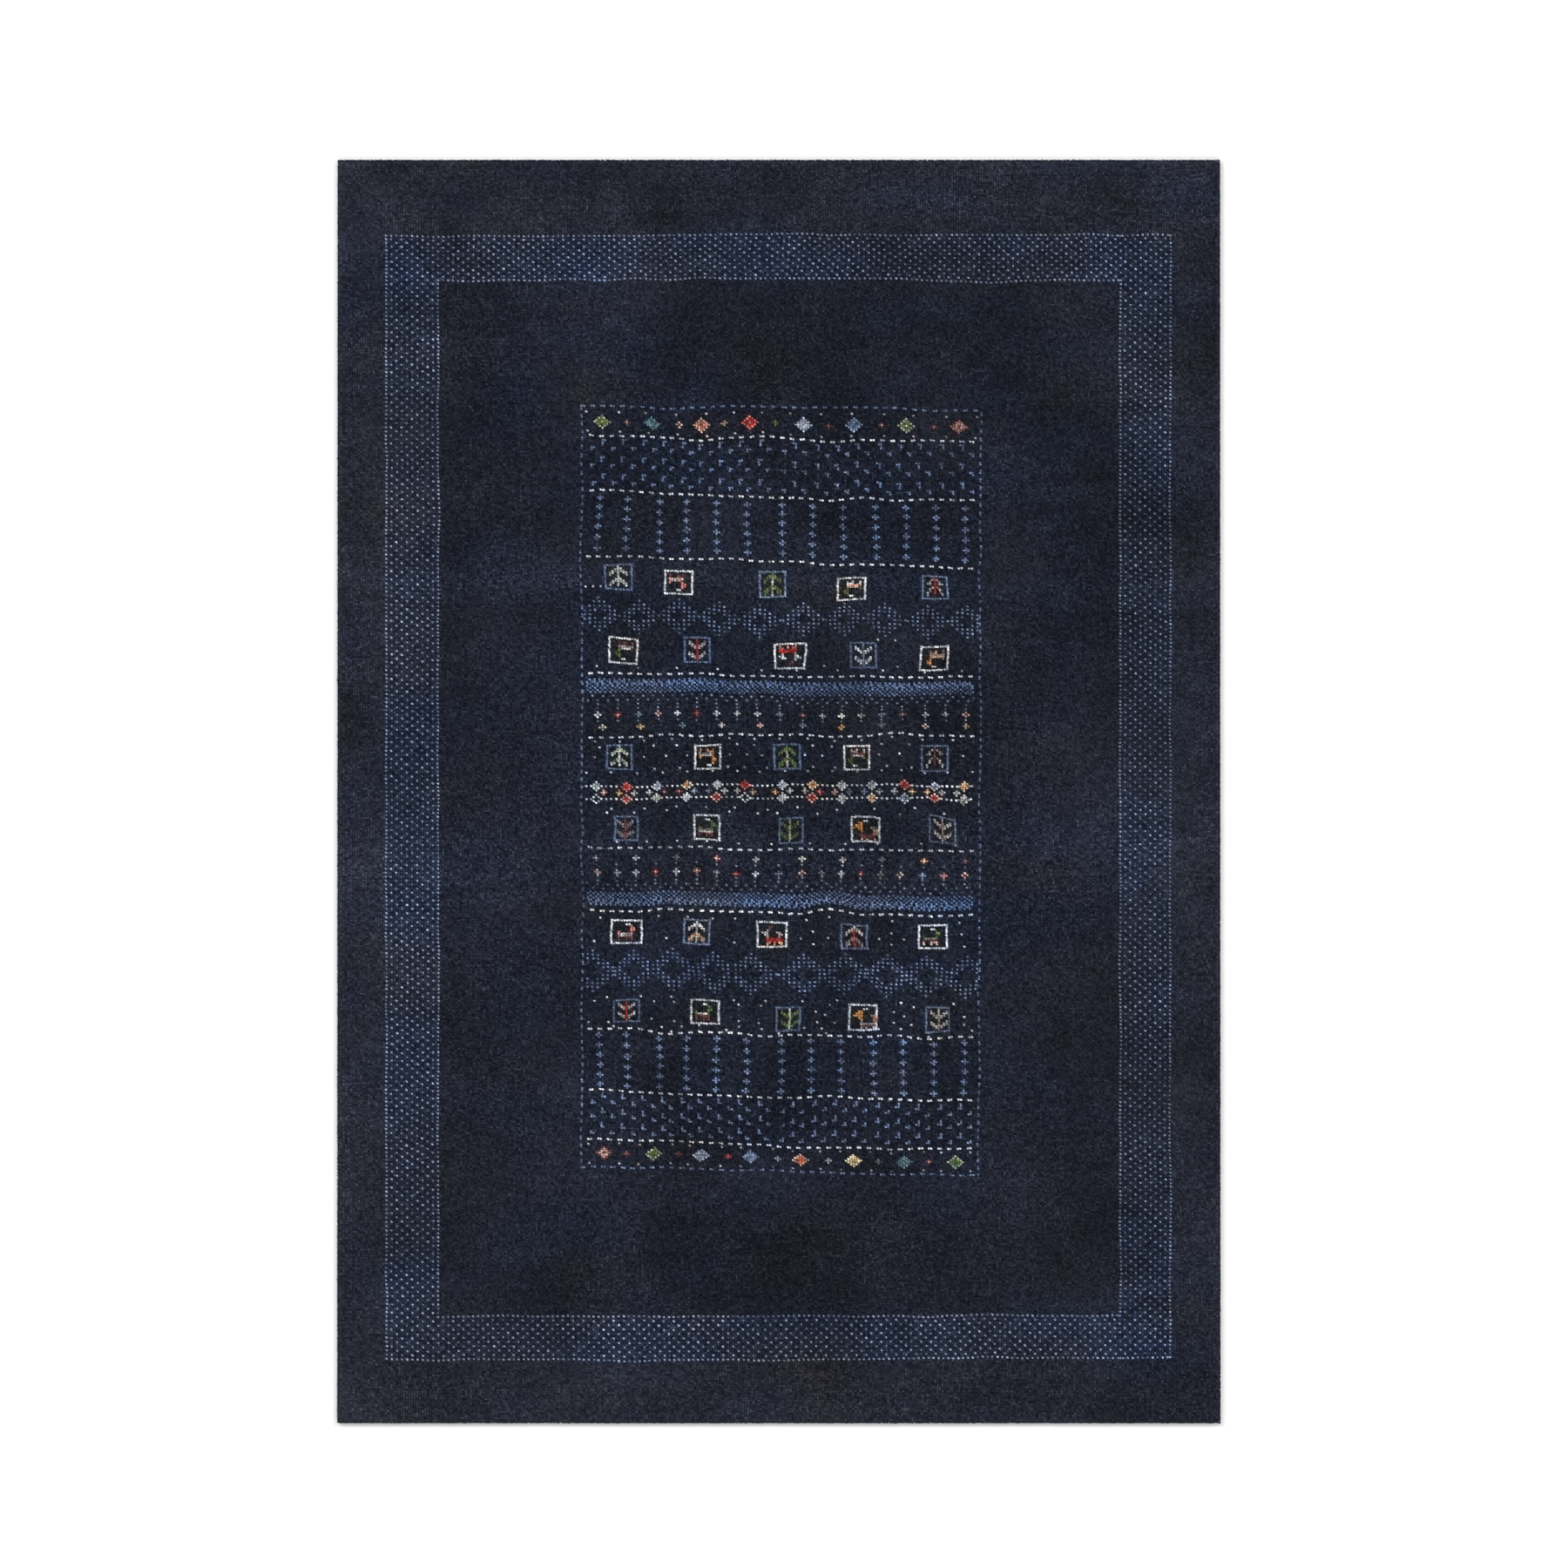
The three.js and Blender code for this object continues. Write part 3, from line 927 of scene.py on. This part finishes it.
def makePile(chart, tree, wool):
    random = np.random.default_rng(rugSize["seed"])
    x, y = knotPlaces(random)
    colours = knotColours(chart, random)
    rows, columns = chart.shape
    inX, inY = bodySlab["halfWidth"] - np.abs(x), bodySlab["halfLength"] - np.abs(y)
    drop = np.clip(1 - np.minimum(inX, inY) / pile["rimReach"], 0, 1) ** 2
    limit = pile["waveLimit"]
    wave = np.clip(softNoise(random, rows, columns, *pile["waveKnots"]), -limit, limit)
    z = pile["top"] - pile["tuftHeight"] - pile["rimDrop"] * drop + pile["waves"] * wave * (1 - drop)
    # locks near the edge lean out over it
    outX, outY = (np.where(inward < pile["rimReach"], np.sign(place), 0) * drop * pile["rimLean"]
                  for inward, place in ((inX, x), (inY, y)))
    growth = np.stack([outX, outY, np.ones_like(x)], axis=-1)
    sizes = {
        "Slant": math.radians(pile["slant"]), "Slant Spread": math.radians(pile["slantSpread"]),
        "Lean": math.radians(pile["lean"]), "Lean Spread": math.radians(pile["leanSpread"]),
    }
    strips = []
    bounds = np.linspace(0, columns, pile["strips"] + 1).round().astype(int)
    for n, (a, b) in enumerate(zip(bounds[:-1], bounds[1:])):
        places = np.stack([x[:, a:b], y[:, a:b], z[:, a:b]], axis=-1).reshape(-1, 3)
        strip = growTufts(f"pileStrip{n + 1}", tree, places, growth[:, a:b].reshape(-1, 3),
                          colours[:, a:b].reshape(-1, 3), dict(sizes, Seed=rugSize["seed"] + 10 * n), wool)
        foldedMap(strip, rows, b - a)
        strips.append(strip)
    return strips


rimLocks = {
    "levels": (2.8, 4.6, 6.6),   # heights of the rows of locks, in millimetres
    "levelSpread": 0.0003,
    "step": 0.0034,
    "stepSpread": 0.3,       # as a share of the step
    "inset": 0.0021,
    "length": 0.0042,
    "width": 0.0036,
    "height": 0.0022,
    "rise": 0.25,            # how much they point upwards
    "riseSpread": 0.15,
    "spread": 50.0,
    "leanSpread": 14.0,
    "shadeSpread": 0.15,
    "lowest": 0.0027,        # so that no lock goes through the floor
}


def makeRimLocks(tree, wool):
    # rows of locks on the sides, in the margin's navy
    random = np.random.default_rng(rugSize["seed"] + 5)
    ring, outward = rimPath(rimLocks["inset"])
    closed = np.concatenate([ring, ring[:1]])
    turned = np.concatenate([outward, outward[:1]])
    along = np.concatenate([[0], np.cumsum(np.linalg.norm(np.diff(closed, axis=0), axis=1))])
    count, stray = int(along[-1] / rimLocks["step"]), rimLocks["stepSpread"]
    places, growth = [], []
    for level in rimLocks["levels"]:
        s = (np.arange(count) + random.uniform(-stray, stray, count) + 0.5) * along[-1] / count
        px, py, nx, ny = (np.interp(s, along, line) for line in (*closed.T, *turned.T))
        z = level / 1000 + random.normal(size=count) * rimLocks["levelSpread"]
        rise = np.full(count, rimLocks["rise"]) + random.normal(size=count) * rimLocks["riseSpread"]
        places.append(np.stack([px, py, np.maximum(z, rimLocks["lowest"])], axis=1))
        growth.append(np.stack([nx, ny, rise], axis=1))
    places, growth = np.concatenate(places), np.concatenate(growth)
    shade = 1 + rimLocks["shadeSpread"] * random.normal(size=(len(places), 1))
    colours = np.clip(linearColour(wools["q"]) / rugSize["lightGain"] * shade, 0.002, 0.5)
    sizes = {
        "Tuft Length": rimLocks["length"], "Tuft Width": rimLocks["width"], "Tuft Height": rimLocks["height"],
        "Slant Spread": math.radians(rimLocks["spread"]), "Lean Spread": math.radians(rimLocks["leanSpread"]),
        "Seed": rugSize["seed"] + 77,
    }
    return growTufts("edgeLocks", tree, places, growth, colours, sizes, wool)


def makeStudio():
    scene = bpy.context.scene
    scene.view_settings.view_transform = "Standard"
    eye = bpy.data.cameras.new("overhead")
    eye.sensor_fit = "HORIZONTAL"
    eye.sensor_width = camera["filmWidth"]
    eye.lens = camera["filmWidth"] * (camera["height"] - camera["pileTop"]) / camera["frameWidth"]
    eye.clip_end = camera["farthest"]
    seat = bpy.data.objects.new("overhead", eye)
    seat.location = (camera["aimX"], camera["aimY"], camera["height"])
    scene.collection.objects.link(seat)
    scene.camera = seat

    half, level = studio["floorSize"] / 2, studio["floorLevel"]
    corners = [(-half, -half, level), (half, -half, level), (half, half, level), (-half, half, level)]
    mesh = bpy.data.meshes.new("studioFloor")
    mesh.from_pydata(corners, [], [(0, 1, 2, 3)])
    paper = bpy.data.materials.new("floorPaper")
    paper.use_nodes = True
    shader = paper.node_tree.nodes["Principled BSDF"]
    shader.inputs["Base Color"].default_value = studio["floorShade"] + (1,)
    shader.inputs["Roughness"].default_value = studio["floorRoughness"]
    mesh.materials.append(paper)
    floor = bpy.data.objects.new("studioFloor", mesh)
    scene.collection.objects.link(floor)

    sky = bpy.data.worlds.new("softRoom")
    sky.use_nodes = True
    glow = sky.node_tree.nodes["Background"].inputs
    glow["Color"].default_value = (1, 1, 1, 1)
    glow["Strength"].default_value = studio["skyStrength"]
    scene.world = sky
    for n, (px, py, pz, share) in enumerate(studio["panels"]):
        lamp = bpy.data.lights.new(f"softPanel{n + 1}", "AREA")
        lamp.size = studio["panelSize"]
        lamp.energy = studio["panelPower"] * share
        lampObject = bpy.data.objects.new(lamp.name, lamp)
        lampObject.location = (px, py, pz)
        reach = math.hypot(px, py)
        lampObject.rotation_euler = (math.atan2(reach, pz), 0, math.atan2(-px, py) + math.pi)
        scene.collection.objects.link(lampObject)


makeStudio()
print("studio, camera and floor are up")

chart = makeChart()
print("knot chart:", chart.shape[1], "across,", chart.shape[0], "down,", int((chart > 0).sum()), "coloured")

pileWool = makePileWool()
tuftTree = makeTuftTree()
strips = makePile(chart, tuftTree, pileWool)
print("pile:", sum(len(strip.data.polygons) for strip in strips), "faces in", len(strips), "strips")

edgeLocks = makeRimLocks(tuftTree, pileWool)
print("edge locks:", len(edgeLocks.data.polygons), "faces")

rugBody = makeBody(makeBackWool())
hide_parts("rug")
for piece in [rugBody, edgeLocks] + strips:
    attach(piece, "root")
